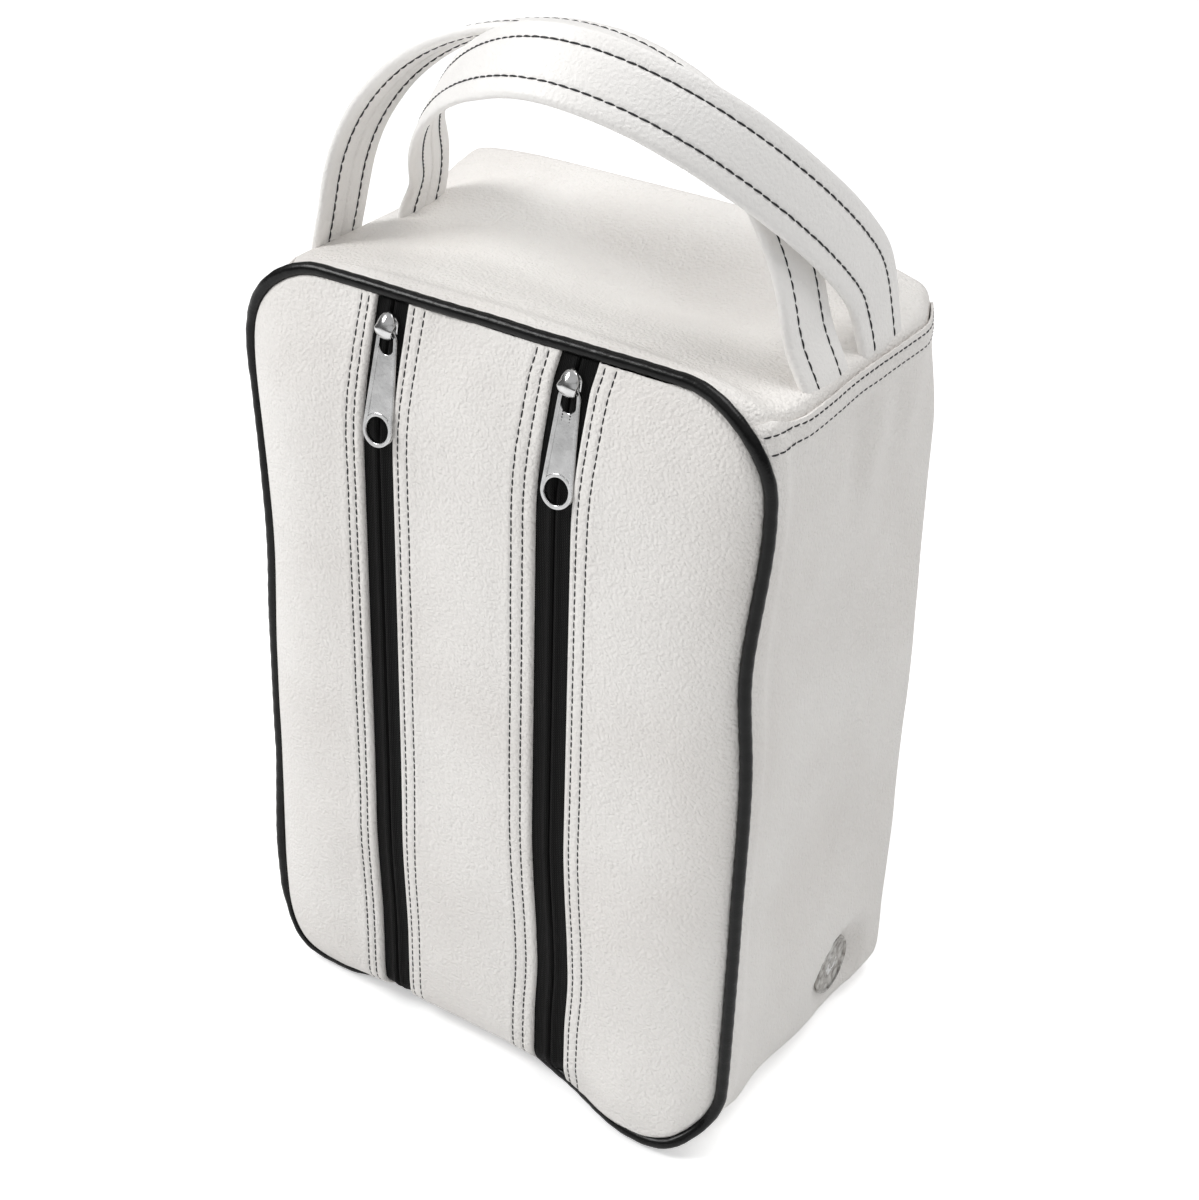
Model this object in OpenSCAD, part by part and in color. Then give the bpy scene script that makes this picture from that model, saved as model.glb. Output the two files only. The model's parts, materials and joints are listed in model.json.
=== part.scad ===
// Golf shoe bag: a boxy leatherette bag with two zipped shoe compartments side by side,
// a piped front, two hand straps looped through each other and a metal badge.
// Origin: centre of the underside. The front faces -Y, +X is to the right seen from the front, +Z is up.

/* [Bag body] */
// Width across the front
bag_w = 232; // [210:1:250]
// Depth from the front panel to the back panel
bag_d = 150; // [130:1:170]
// Height of the body without its straps
bag_h = 350; // [320:1:370]
// Radius of the two top corners seen from the front
top_r = 38; // [34:1:42]
// Radius of the two bottom corners seen from the front
bottom_r = 24; // [20:1:30]
// Thickness of one leatherette panel
skin_t = 2; // [1.6:0.1:2.2]
// Height at which the side panels lap over the top panel
shoulder_z = 338; // [332:1:340]
// Height of the folded band along each shoulder
shoulder_band_h = 16; // [12:1:20]

/* [Piping] */
// Diameter of the piping round the front panel
piping_d = 5; // [4.4:0.1:5.4]
// Diameter of the cord inside the piping
cord_d = 3; // [2:0.1:3.2]

/* [Zips] */
// Sideways place of the left zip
zip_left_x = -45; // [-50:1:-40]
// Sideways place of the right zip
zip_right_x = 37; // [32:1:42]
// Width of the slot between the two folded edges
zip_slot_w = 15; // [12:0.5:16]
// Distance that each slider travels
slider_travel = 285; // [200:5:285]
// Length of the slider's body
slider_l = 12; // [11:0.5:13]
// Width of the slider's body
slider_w = 9.6; // [9:0.1:10]
// Distance from the pull tab's hinge to the centre of its eye
eye_drop = 38; // [36:0.5:40]
// Radius of the eye at the end of the pull tab
eye_r = 5.2; // [4.5:0.1:5.4]
// Thickness of the pull tab
pull_t = 1.6; // [1.4:0.1:1.8]
// Forward lean of the pull tabs as they rest on the front panel
pull_lean = 12; // [0:1:14]

/* [Straps] */
// Width of a hand strap
strap_w = 30; // [26:1:32]
// Thickness of a hand strap
strap_t = 4; // [3.6:0.1:4.2]
// Height of the hinge line at the foot of each strap
strap_foot_z = 354.5; // [353:0.5:356]
// Rise of the front strap above its foot
front_rise = 87.5; // [70:0.5:100]
// Rise of the rear strap above its foot, along its own slope
rear_rise = 125.5; // [100:0.5:140]
// Backward lean of the front strap
front_lean = 6; // [5:1:8]
// Forward lean of the rear strap
rear_lean = 44; // [42:1:46]

/* [Badge] */
// Radius of the round metal badge
badge_r = 14; // [12:0.5:15]
// Distance of the badge behind the middle of the side
badge_y = 28; // [20:1:34]
// Height of the badge's centre
badge_z = 27; // [25:1:40]

/* [Hidden] */
$fn = 48;
gap = 0.1;
cut = 1;

// Planes from front to back
front_y = -bag_d / 2;
back_y = bag_d / 2;
piping_y = front_y + piping_d / 2;
gusset_y = front_y + piping_d + gap;
tape_t = 0.6;
hem_t = 1;
tape_y = front_y + skin_t + hem_t + gap;
coil_r = 0.9;
coil_y = tape_y + tape_t + coil_r + 0.05;

// Zip chain and slider
tape_w = 14;
tape_split = 1.4;
zip_top = bag_h - piping_d - 0.6;
zip_bottom = piping_d + 0.6;
stop_h = 1;
slider_top = zip_top - stop_h - 0.4;
slider_z = slider_top - slider_l / 2;
slider_plate_t = 1.4;
post_w = 0.9;
plate_y = tape_y - 0.2 - slider_plate_t;
bridge_w = 4;
bar_r = 0.9;
bar_y = front_y - 4.6;
bar_z = slider_z - 2;
bridge_wall = 1.5;
bridge_h = plate_y - bar_y + 2.1 + bridge_wall;

// Depth of each layer inside the outer skin
binding_in = skin_t + 0.2;
binding_t = 1.2;
board_z = skin_t + gap;
board_t = 2.5;
lining_in = 5;
lining_t = 0.5;
divider_x = (zip_left_x + zip_right_x) / 2;
divider_t = 1.2;

// Straps and their thread
front_foot_y = -26;
rear_foot_y = 14;
stitch_in = 7;
thread = 0.5;
filler_t = 1.6;
tip_h = strap_w / 2 * tan(40);
arch_parts = 20;
band_t = 1.5;

// Each arch: middle, half width, rise, sideways lean of the crest,
// and the powers that shape its left leg, its right leg and its height
front_arch = [-7.3, 101.5, front_rise, 1.5, 1, 1.06, 0.97];
rear_arch = [5.2, 103.8, rear_rise, 14.8, 1.13, 1.01, 1.44];

WHITE = [0.93, 0.92, 0.9];
SHADE = [0.8, 0.78, 0.76];
BLACK = [0.07, 0.07, 0.08];
STEEL = [0.78, 0.79, 0.8];

// ---- Shared shapes ----

// Front outline of the bag, drawn inset from the outer skin
module outline(inset) {
    x_out = bag_w / 2 - inset;
    x_top = bag_w / 2 - top_r;
    x_bottom = bag_w / 2 - bottom_r;
    translate([-x_out, bottom_r])
        square([2 * x_out, bag_h - bottom_r - top_r]);
    translate([-x_bottom, inset])
        square([2 * x_bottom, bottom_r]);
    translate([-x_top, bag_h - top_r - cut])
        square([2 * x_top, top_r - inset + cut]);
    for (side = [-1, 1]) {
        translate([side * x_top, bag_h - top_r])
            circle(r = top_r - inset, $fn = 96);
        translate([side * x_bottom, bottom_r])
            circle(r = bottom_r - inset, $fn = 96);
    }
}

// A block with the bag's outline between two depths
module slab(inset, y_from, y_to) {
    translate([0, y_to, 0])
        rotate([90, 0, 0])
            linear_extrude(y_to - y_from)
                outline(inset);
}

// A hollow frame that follows the bag's outline
module ring(inset, thickness, y_from, y_to) {
    difference() {
        slab(inset, y_from, y_to);
        slab(inset + thickness, y_from - cut, y_to + cut);
    }
}

// All the space between two sideways planes
module across(x_from, x_to) {
    translate([x_from, -bag_d, -bag_h])
        cube([x_to - x_from, 2 * bag_d, 3 * bag_h]);
}

// All the space between two heights
module heights(z_from, z_to) {
    translate([-bag_w, -bag_d, z_from])
        cube([2 * bag_w, 2 * bag_d, z_to - z_from]);
}

// Moves its children to both ends of the bag's width: 1 is the right, -1 the left
module both_sides() {
    children();
    mirror([1, 0, 0])
        children();
}

// ---- Body panels ----

// One front panel between two slots, with a folded hem behind each slot edge
module front_panel(x_from, x_to, hem_left, hem_right) {
    hem_w = 9;
    color(WHITE)
        intersection() {
            slab(piping_d + gap, front_y, front_y + skin_t + hem_t);
            union() {
                translate([x_from, front_y, 0])
                    cube([x_to - x_from, skin_t, bag_h]);
                if (hem_left)
                    translate([x_from, front_y, 0])
                        cube([hem_w, skin_t + hem_t, bag_h]);
                if (hem_right)
                    translate([x_to - hem_w, front_y, 0])
                        cube([hem_w, skin_t + hem_t, bag_h]);
            }
        }
}

module front_panel_left() {
    front_panel(-bag_w / 2, zip_left_x - zip_slot_w / 2, false, true);
}

module front_panel_centre() {
    front_panel(zip_left_x + zip_slot_w / 2, zip_right_x - zip_slot_w / 2, true, true);
}

module front_panel_right() {
    front_panel(zip_right_x + zip_slot_w / 2, bag_w / 2, true, false);
}

module top_panel() {
    color(WHITE)
        intersection() {
            ring(0, skin_t, gusset_y, back_y - skin_t - gap);
            heights(shoulder_z - shoulder_band_h / 2, bag_h + cut);
        }
}

// Side wall with its bottom corner and the folded band that laps over the top panel
module side_panel() {
    y_to = back_y - skin_t - gap;
    wall_top = shoulder_z - shoulder_band_h / 2 - gap;
    intersection() {
        union() {
            intersection() {
                ring(0, skin_t, gusset_y, y_to);
                heights(-cut, wall_top);
            }
            intersection() {
                ring(-band_t, band_t - gap, gusset_y, y_to);
                heights(shoulder_z - shoulder_band_h, shoulder_z);
            }
            intersection() {
                ring(-band_t, band_t + skin_t, gusset_y, y_to);
                heights(shoulder_z - shoulder_band_h, wall_top);
            }
        }
        across(bag_w / 2 - bottom_r + gap, bag_w);
    }
}

module side_panel_left() {
    color(WHITE)
        mirror([1, 0, 0])
            side_panel();
}

module side_panel_right() {
    rivet_hole_r = 2.2;
    color(WHITE)
        difference() {
            side_panel();
            translate([bag_w / 2 - bottom_r, badge_y, badge_z])
                rotate([0, 90, 0])
                    cylinder(r = rivet_hole_r, h = 2 * bottom_r);
        }
}

module base_panel() {
    color(WHITE)
        intersection() {
            ring(0, skin_t, gusset_y, back_y - skin_t - gap);
            across(-bag_w / 2 + bottom_r, bag_w / 2 - bottom_r);
            heights(-cut, bottom_r);
        }
}

module back_panel() {
    color(WHITE)
        slab(0, back_y - skin_t, back_y);
}

// ---- Inside ----

module base_board() {
    x = bag_w / 2 - bottom_r - 2;
    color(SHADE)
        translate([-x, front_y + 13, board_z])
            cube([2 * x, bag_d - 23, board_t]);
}

module centre_divider() {
    inset = lining_in + gap;
    top_gap = 18;
    color(BLACK)
        intersection() {
            slab(inset, front_y + 15, back_y - 8);
            across(divider_x - divider_t / 2, divider_x + divider_t / 2);
            heights(0, bag_h - top_gap);
        }
}

// Lining of one compartment: a sleeve with a closed back
module lining(x_from, x_to) {
    y_from = front_y + 14;
    y_to = back_y - 4;
    color(BLACK)
        difference() {
            intersection() {
                slab(lining_in, y_from, y_to);
                across(x_from, x_to);
            }
            intersection() {
                slab(lining_in + lining_t, y_from - cut, y_to - lining_t);
                across(x_from + lining_t, x_to - lining_t);
            }
        }
}

module left_lining() {
    lining(-bag_w, divider_x - divider_t / 2 - gap);
}

module right_lining() {
    lining(divider_x + divider_t / 2 + gap, bag_w);
}

// Backing under each shoulder that the strap feet are sewn to
module strap_reinforcements() {
    color(SHADE)
        intersection() {
            ring(skin_t + gap, 1.2, front_foot_y - strap_w / 2, rear_foot_y + strap_w / 2);
            heights(shoulder_z - 2 * shoulder_band_h, shoulder_z + 6);
        }
}

// ---- Piping and seam bindings ----

// A round bar that follows the edge of the front panel
module piping_bar(diameter) {
    r = diameter / 2;
    x_edge = bag_w / 2 - piping_d / 2;
    x_top = bag_w / 2 - top_r;
    x_bottom = bag_w / 2 - bottom_r;
    z_edge = piping_d / 2;
    translate([0, piping_y, 0]) {
        for (side = [-1, 1])
            translate([side * x_edge, 0, bottom_r])
                cylinder(r = r, h = bag_h - bottom_r - top_r);
        translate([-x_bottom, 0, z_edge])
            rotate([0, 90, 0])
                cylinder(r = r, h = 2 * x_bottom);
        translate([-x_top, 0, bag_h - z_edge])
            rotate([0, 90, 0])
                cylinder(r = r, h = 2 * x_top);
        both_sides() {
            translate([x_top, 0, bag_h - top_r])
                rotate([90, 0, 0])
                    rotate_extrude(angle = 90)
                        translate([top_r - piping_d / 2, 0])
                            circle(r = r);
            translate([x_bottom, 0, bottom_r])
                rotate([90, 0, 0])
                    rotate_extrude(angle = -90)
                        translate([bottom_r - piping_d / 2, 0])
                            circle(r = r);
        }
    }
}

module piping_cover() {
    color(BLACK)
        difference() {
            piping_bar(piping_d);
            piping_bar(cord_d + gap);
        }
}

module piping_cord() {
    color(SHADE)
        piping_bar(cord_d);
}

module front_seam_binding() {
    color(BLACK)
        ring(binding_in, binding_t, gusset_y + 0.2, gusset_y + 7);
}

module back_seam_binding() {
    color(BLACK)
        ring(binding_in, binding_t, back_y - skin_t - 7, back_y - skin_t - gap);
}

// ---- Zips: each part is drawn about x = 0 and moved to its zip ----

// Half of the tape: 1 is the right half, -1 the left
module zip_tape(zip_x, side) {
    x_from = side > 0 ? tape_split / 2 : -tape_w;
    color(BLACK)
        translate([zip_x + x_from, tape_y, zip_bottom])
            cube([tape_w - tape_split / 2, tape_t, zip_top - zip_bottom]);
}

// Half of the chain, sewn behind the tape's inner edge
module zip_coil(zip_x, side) {
    color(BLACK)
        translate([zip_x + side * (tape_split / 2 + coil_r), coil_y, zip_bottom])
            cylinder(r = coil_r, h = zip_top - stop_h - zip_bottom - gap);
}

// Two top stops and one bottom stop clamped over the chain
module zip_stops(zip_x) {
    stop_w = 2;
    bottom_stop_z = slider_z - slider_l / 2 - slider_travel - 4;
    color(STEEL) {
        for (side = [-1, 1])
            translate([zip_x + side * (tape_split / 2 + coil_r) - stop_w / 2, tape_y + tape_t, 0])
                translate([0, gap / 2, zip_top - stop_h])
                    cube([stop_w, 2 * coil_r, stop_h]);
        translate([zip_x - 2.6, coil_y + coil_r + gap, bottom_stop_z])
            cube([5.2, 0.8, 3]);
    }
}

// Outline of a slider plate: a wide shoulder that narrows to the tail
module slider_outline() {
    tail_w = 0.72 * slider_w;
    corner = 1.5;
    polygon([
        [-tail_w / 2 + corner, -slider_l / 2],
        [tail_w / 2 - corner, -slider_l / 2],
        [tail_w / 2, -slider_l / 2 + corner],
        [slider_w / 2, 0],
        [slider_w / 2, slider_l / 2 - corner],
        [slider_w / 2 - corner, slider_l / 2],
        [-slider_w / 2 + corner, slider_l / 2],
        [-slider_w / 2, slider_l / 2 - corner],
        [-slider_w / 2, 0],
        [-tail_w / 2, -slider_l / 2 + corner]
    ]);
}

// Two plates, in front of the tape and behind the chain, joined by a thin post
module slider_body(zip_x) {
    back_plate_y = coil_y + coil_r + 0.15;
    post_l = 2.5;
    color(STEEL)
        translate([zip_x, 0, slider_z]) {
            for (y = [plate_y, back_plate_y])
                translate([0, y + slider_plate_t, 0])
                    rotate([90, 0, 0])
                        linear_extrude(slider_plate_t)
                            slider_outline();
            translate([-post_w / 2, plate_y + slider_plate_t / 2, slider_l / 2 - post_l])
                cube([post_w, back_plate_y - plate_y, post_l]);
        }
}

// Side view of the bridge: a rounded arch that stands out from the front plate
module bridge_profile(inset, foot) {
    reach = bridge_h - inset;
    half = slider_l / 2 - 0.4 - inset;
    r = 3 - inset / 2;
    translate([-reach + r, -half])
        square([reach - r + foot, 2 * half]);
    translate([-reach, -half + r])
        square([reach, 2 * (half - r)]);
    for (side = [-1, 1])
        translate([-reach + r, side * (half - r)])
            circle(r = r);
}

// The bridge that holds the pull tab's bar, open from side to side
module slider_bridge(zip_x) {
    color(STEEL)
        translate([zip_x - bridge_w / 2, plate_y - 0.05, slider_z])
            rotate([90, 0, 90])
                linear_extrude(bridge_w)
                    difference() {
                        bridge_profile(0, 0);
                        bridge_profile(bridge_wall, cut);
                    }
}

// Leaf spring of the slider's lock, lying on the front plate under the bridge
module slider_spring(zip_x) {
    spring_l = 5;
    color(STEEL)
        translate([zip_x - 0.6, plate_y - 0.55, slider_z - 1])
            cube([1.2, 0.4, spring_l]);
}

// Outline of the pull tab: two round ends joined by straight sides; z counts from the hinge
function pull_arc(r, z, a_from, a_to) =
    [for (a = [a_from : (a_to - a_from) / 16 : a_to]) [r * cos(a), z + r * sin(a)]];

module pull_outline() {
    head_r = slider_w / 2;
    tail_r = eye_r + 1.5;
    head_z = -head_r + bar_r + 0.8;
    tilt = asin((tail_r - head_r) / (head_z + eye_drop));
    polygon(concat(
        pull_arc(head_r, head_z, tilt, 180 - tilt),
        pull_arc(tail_r, -eye_drop, 180 - tilt, 360 + tilt)
    ));
}

// Hanging tab: a bar for the bridge, a D-shaped opening below it and a round eye at the end
module pull_tab(zip_x) {
    window_w = 7;
    window_h = 4.6;
    color(STEEL)
        translate([zip_x, bar_y, bar_z])
            rotate([-pull_lean, 0, 0])
                difference() {
                    translate([0, pull_t / 2, 0])
                        rotate([90, 0, 0])
                            linear_extrude(pull_t)
                                difference() {
                                    pull_outline();
                                    translate([-window_w / 2, -bar_r - window_h])
                                        square([window_w, window_h]);
                                    translate([0, -bar_r - window_h])
                                        circle(r = window_w / 2);
                                }
                    translate([0, pull_t, -eye_drop])
                        rotate([90, 0, 0])
                            cylinder(r = eye_r, h = 2 * pull_t, $fn = 96);
                }
}

// Two thread lines along each folded edge of a zip
module zip_topstitching(zip_x) {
    color(BLACK)
        for (side = [-1, 1])
            for (from_edge = [2.8, 7.4])
                translate([zip_x + side * (zip_slot_w / 2 + from_edge) - thread / 2, 0, 0])
                    translate([0, front_y - thread - 0.02, zip_bottom + 1])
                        cube([thread, thread, zip_top - zip_bottom - 2]);
}

// Two thread lines along each shoulder band
module shoulder_topstitching() {
    color(BLACK)
        for (z = [shoulder_z - 4, shoulder_z - 10])
            intersection() {
                ring(-band_t - gap - thread, thread, gusset_y + 2, back_y - 4);
                heights(z - 0.4, z + 0.4);
            }
}

// ---- Straps ----

// A strap's centre line: t runs from 0 at the right foot to 180 at the left foot
function arch_x(arch, t) =
    arch[0] + arch[3] * sin(t)
    + (cos(t) > 0 ? arch[1] * pow(cos(t), arch[5]) : -arch[1] * pow(-cos(t), arch[4]));
function arch_z(arch, t) = arch[2] * pow(sin(t), arch[6]);
function arch_point(arch, t) = [arch_x(arch, t), arch_z(arch, t)];

// Unit normal of the centre line, pointing out of the arch
function arch_normal(arch, t) =
    let (along = arch_point(arch, t + 1) - arch_point(arch, t - 1))
    [along[1], -along[0]] / norm(along);

// Steps along the band, which starts where the pointed tips end
function arch_steps(arch) =
    let (start = asin(pow(tip_h / arch[2], 1 / arch[6])))
    [for (i = [0 : arch_parts]) start + i * (180 - 2 * start) / arch_parts];

// A band between two distances from the centre line and two places across its width
module strap_band(arch, d_in, d_out, w_from, w_to) {
    steps = arch_steps(arch);
    translate([0, w_to, 0])
        rotate([90, 0, 0])
            linear_extrude(w_to - w_from)
                polygon(concat(
                    [for (t = steps) arch_point(arch, t) + d_out * arch_normal(arch, t)],
                    [for (i = [arch_parts : -1 : 0])
                        arch_point(arch, steps[i]) + d_in * arch_normal(arch, steps[i])]
                ));
}

// The pointed lower ends of a strap, which leave room for it to swing on its feet
module strap_tips(arch) {
    point_z = 0.6;
    clear = 0.5;
    steps = arch_steps(arch);
    for (end = [0, arch_parts]) {
        side = end == 0 ? 1 : -1;
        foot_x = arch[0] + side * arch[1];
        top = arch_point(arch, steps[end]) - [0, clear];
        half = strap_t / 2 * arch_normal(arch, steps[end]);
        intersection() {
            translate([-bag_w, 0, 0])
                rotate([90, 0, 90])
                    linear_extrude(2 * bag_w)
                        polygon([
                            [0, point_z],
                            [strap_w / 2, tip_h],
                            [strap_w / 2, 2 * tip_h],
                            [-strap_w / 2, 2 * tip_h],
                            [-strap_w / 2, tip_h]
                        ]);
            translate([0, strap_w, 0])
                rotate([90, 0, 0])
                    linear_extrude(2 * strap_w)
                        polygon([
                            [foot_x + side * strap_t / 2, 0],
                            top + half,
                            top - half,
                            [foot_x - side * strap_t / 2, 0]
                        ]);
        }
    }
}

module place_front_strap() {
    translate([0, front_foot_y, strap_foot_z])
        rotate([-front_lean, 0, 0])
            children();
}

module place_rear_strap() {
    translate([0, rear_foot_y, strap_foot_z])
        rotate([rear_lean, 0, 0])
            children();
}

// Outer face of a strap, with its tips
module strap_outer_face(arch) {
    color(WHITE) {
        strap_band(arch, filler_t / 2 + gap, strap_t / 2, -strap_w / 2, strap_w / 2);
        strap_tips(arch);
    }
}

module strap_filler(arch) {
    filler_w = strap_w - 4;
    color(SHADE)
        strap_band(arch, -filler_t / 2, filler_t / 2, -filler_w / 2, filler_w / 2);
}

// Inner face of a strap: its two folded edges meet in a butt seam along the middle
module strap_inner_face(arch) {
    seam = 0.3;
    color(WHITE) {
        strap_band(arch, -strap_t / 2, -filler_t / 2 - gap, -strap_w / 2, -seam);
        strap_band(arch, -strap_t / 2, -filler_t / 2 - gap, seam, strap_w / 2);
    }
}

// Two thread lines on the outer face of a strap
module strap_topstitching(arch) {
    color(BLACK)
        for (side = [-1, 1])
            strap_band(arch, strap_t / 2 + 0.02, strap_t / 2 + 0.02 + thread,
                side * (strap_w / 2 - stitch_in) - thread / 2,
                side * (strap_w / 2 - stitch_in) + thread / 2);
}

// The sewn feet of a strap: they stand on the shoulders and end in a point at the hinge line
module strap_feet(foot_y, arch) {
    foot_gap = 0.6;
    color(WHITE)
        difference() {
            for (side = [-1, 1])
                translate([arch[0] + side * arch[1] - strap_t / 2, foot_y, strap_foot_z])
                    rotate([90, 0, 90])
                        linear_extrude(strap_t)
                            polygon([
                                [0, -foot_gap],
                                [-strap_w / 2, -tip_h],
                                [-strap_w / 2, -top_r],
                                [strap_w / 2, -top_r],
                                [strap_w / 2, -tip_h]
                            ]);
            slab(-band_t - 2 * gap - thread, front_y, back_y);
        }
}

module front_strap_outer_face() {
    place_front_strap()
        strap_outer_face(front_arch);
}

module front_strap_inner_face() {
    place_front_strap()
        strap_inner_face(front_arch);
}

module front_strap_filler() {
    place_front_strap()
        strap_filler(front_arch);
}

module front_strap_topstitching() {
    place_front_strap()
        strap_topstitching(front_arch);
}

module rear_strap_outer_face() {
    place_rear_strap()
        strap_outer_face(rear_arch);
}

module rear_strap_inner_face() {
    place_rear_strap()
        strap_inner_face(rear_arch);
}

module rear_strap_filler() {
    place_rear_strap()
        strap_filler(rear_arch);
}

module rear_strap_topstitching() {
    place_rear_strap()
        strap_topstitching(rear_arch);
}

// ---- Badge ----

// Round cap with a raised rim and a rivet that passes through the side panel
module badge_cap() {
    cap_t = 1.4;
    rim_w = 1.2;
    rim_h = 0.6;
    rivet_r = 2;
    rivet_l = skin_t + 1.4;
    color(STEEL)
        translate([bag_w / 2 + gap, badge_y, badge_z])
            rotate([0, 90, 0]) {
                difference() {
                    cylinder(r = badge_r, h = cap_t + rim_h, $fn = 96);
                    translate([0, 0, cap_t])
                        cylinder(r = badge_r - rim_w, h = rim_h + cut, $fn = 96);
                }
                translate([0, 0, -rivet_l - gap])
                    cylinder(r = rivet_r, h = rivet_l + gap + cap_t / 2);
            }
}

module badge_washer() {
    washer_t = 0.8;
    color(STEEL)
        translate([bag_w / 2 - skin_t - washer_t - 2 * gap, badge_y, badge_z])
            rotate([0, 90, 0])
                difference() {
                    cylinder(r = 5, h = washer_t);
                    translate([0, 0, -cut])
                        cylinder(r = 2.1, h = washer_t + 2 * cut);
                }
}

front_panel_left();
front_panel_centre();
front_panel_right();
top_panel();
side_panel_left();
side_panel_right();
base_panel();
back_panel();
base_board();
centre_divider();
left_lining();
right_lining();
strap_reinforcements();
piping_cover();
piping_cord();
front_seam_binding();
back_seam_binding();
zip_tape(zip_left_x, -1);  // left_zip_outer_tape
zip_tape(zip_left_x, 1);  // left_zip_inner_tape
zip_coil(zip_left_x, -1);  // left_zip_outer_coil
zip_coil(zip_left_x, 1);  // left_zip_inner_coil
zip_stops(zip_left_x);  // left_zip_stops
slider_body(zip_left_x);  // left_slider_body
slider_bridge(zip_left_x);  // left_slider_bridge
slider_spring(zip_left_x);  // left_slider_spring
pull_tab(zip_left_x);  // left_pull_tab
zip_topstitching(zip_left_x);  // left_zip_topstitching
zip_tape(zip_right_x, 1);  // right_zip_outer_tape
zip_tape(zip_right_x, -1);  // right_zip_inner_tape
zip_coil(zip_right_x, 1);  // right_zip_outer_coil
zip_coil(zip_right_x, -1);  // right_zip_inner_coil
zip_stops(zip_right_x);  // right_zip_stops
slider_body(zip_right_x);  // right_slider_body
slider_bridge(zip_right_x);  // right_slider_bridge
slider_spring(zip_right_x);  // right_slider_spring
pull_tab(zip_right_x);  // right_pull_tab
zip_topstitching(zip_right_x);  // right_zip_topstitching
shoulder_topstitching();
front_strap_outer_face();
front_strap_inner_face();
front_strap_filler();
strap_feet(front_foot_y, front_arch);  // front_strap_feet
front_strap_topstitching();
rear_strap_outer_face();
rear_strap_inner_face();
rear_strap_filler();
strap_feet(rear_foot_y, rear_arch);  // rear_strap_feet
rear_strap_topstitching();
badge_cap();
badge_washer();
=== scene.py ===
"""Looks of the golf shoe bag: soft leatherette panels, piping, zips, looped straps and a badge.

Every length is in metres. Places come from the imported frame; MM turns millimetres into metres.
"""

import json
import math
import random

import bmesh
import bpy
import numpy as np
from mathutils import Matrix, Vector, noise

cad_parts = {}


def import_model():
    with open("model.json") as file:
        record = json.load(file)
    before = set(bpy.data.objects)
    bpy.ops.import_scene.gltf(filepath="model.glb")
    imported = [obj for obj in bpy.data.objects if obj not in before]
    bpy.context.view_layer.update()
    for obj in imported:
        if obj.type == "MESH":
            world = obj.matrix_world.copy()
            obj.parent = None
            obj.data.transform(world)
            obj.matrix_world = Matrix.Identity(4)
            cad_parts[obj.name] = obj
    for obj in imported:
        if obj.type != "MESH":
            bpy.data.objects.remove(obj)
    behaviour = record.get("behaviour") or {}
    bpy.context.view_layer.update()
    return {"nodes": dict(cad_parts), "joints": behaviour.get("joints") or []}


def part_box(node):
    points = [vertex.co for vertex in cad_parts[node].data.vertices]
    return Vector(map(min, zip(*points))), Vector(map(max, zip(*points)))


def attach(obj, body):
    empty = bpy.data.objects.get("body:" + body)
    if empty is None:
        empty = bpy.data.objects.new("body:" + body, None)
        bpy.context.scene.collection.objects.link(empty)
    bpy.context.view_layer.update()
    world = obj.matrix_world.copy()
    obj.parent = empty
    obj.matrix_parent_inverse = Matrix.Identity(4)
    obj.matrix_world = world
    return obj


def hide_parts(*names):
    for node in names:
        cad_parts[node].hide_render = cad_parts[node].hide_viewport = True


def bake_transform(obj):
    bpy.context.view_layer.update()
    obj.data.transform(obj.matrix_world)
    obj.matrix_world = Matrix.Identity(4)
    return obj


MM = 0.001
SKIN = 1.1 * MM
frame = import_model()
random.seed(7)

# ---- Places taken from the frame ----

LEFT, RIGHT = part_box("side_panel_left")[0].x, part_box("side_panel_right")[1].x
HALF = (RIGHT - LEFT) / 2
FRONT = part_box("piping_cover")[0].y
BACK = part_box("back_panel")[1].y
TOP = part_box("top_panel")[1].z
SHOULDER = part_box("side_panel_right")[1].z
SIDES = ("left", "right")
ZIP_X = {s: sum(b.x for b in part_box(f"{s}_slider_body")) / 2 for s in SIDES}
SLIDER_Z = sum(b.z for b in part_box("left_slider_body")) / 2
JOINTS = {j["name"]: j for j in frame["joints"]}
PIPING_R = 2.6 * MM
# Half width of each zip's slot between the folded panel edges
SLOT_HALF = {"left": 7.3 * MM, "right": 8.2 * MM}
# Distances of the two stitch rows from a folded panel edge, in millimetres
STITCH_ROWS = {
    ("left", "low"): (3.2, 6.6), ("left", "high"): (3.0, 7.6),
    ("right", "low"): (4.4, 9.2), ("right", "high"): (3.2, 8.0),
}

# ---- Small helpers ----


def smooth(a, b, x):
    """0 at a, 1 at b, and a smooth change between them; a may be above b."""
    t = min(max((x - a) / (b - a), 0.0), 1.0)
    return t * t * (3 - 2 * t)


def bump(x, centre, width):
    """A bell of height 1."""
    return math.exp(-(((x - centre) / width) ** 2))


def mix(a, b, t):
    return a + (b - a) * t


def soft_noise(x, y, z, scale, seed):
    """Smooth noise between about -1 and 1 with features of the given size."""
    return noise.noise(Vector((x / scale + seed, y / scale - seed, z / scale + 0.7 * seed)))


def finish_mesh(obj, look, replaced, body="bag"):
    """Gives a piece its material and smooth shading, and makes it ride on a body."""
    mat, slot = look
    obj.data.materials.append(mat)
    for poly in obj.data.polygons:
        poly.use_smooth = True
    if body:
        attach(obj, body)
    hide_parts(*replaced)
    return obj


def link_object(name, data):
    """A new object in the scene."""
    obj = bpy.data.objects.new(name, data)
    bpy.context.scene.collection.objects.link(obj)
    return obj


def new_object(name, verts, faces):
    """A mesh object from points and faces."""
    mesh = bpy.data.meshes.new(name)
    mesh.from_pydata([tuple(v) for v in verts], [], faces)
    mesh.update()
    return link_object(name, mesh)


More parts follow.
